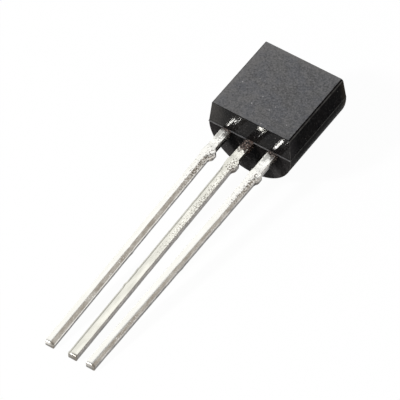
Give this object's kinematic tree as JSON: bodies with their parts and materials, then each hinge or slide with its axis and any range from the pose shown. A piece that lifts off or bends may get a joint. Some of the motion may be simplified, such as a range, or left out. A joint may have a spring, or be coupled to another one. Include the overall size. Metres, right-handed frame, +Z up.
{
  "type": "to-92 transistor",
  "caption": "Small-signal transistor in a black moulded package with a flat face and a round back, on straight tinned leads in a row.",
  "frame": {"origin": "on the ground, under the middle of the whole part's box, as it lies on its round back with the flat face up", "axes": "+Z up, away from the ground; -Y along the leads, away from the body; +X across the flat face, from the collector lead to the emitter lead"},
  "size_m": [0.0045, 0.0192, 0.0041],
  "materials": {
    "moulding_compound": "fine matte black epoxy moulding compound on the flat face, glossier on the ends and the round back",
    "tinned_lead": "bright tin over a stamped copper alloy strip, mottled near the body",
    "die_attach": "cured silver-filled layer",
    "silicon": "polished silicon",
    "bond_wire": "drawn gold wire"
  },
  "bodies": {
    "root": {"moulded_body": "moulding_compound", "collector_lead": "tinned_lead", "base_lead": "tinned_lead", "emitter_lead": "tinned_lead", "die_attach": "die_attach", "silicon_die": "silicon", "base_wire": "bond_wire", "emitter_wire": "bond_wire"}
  },
  "joints": []
}
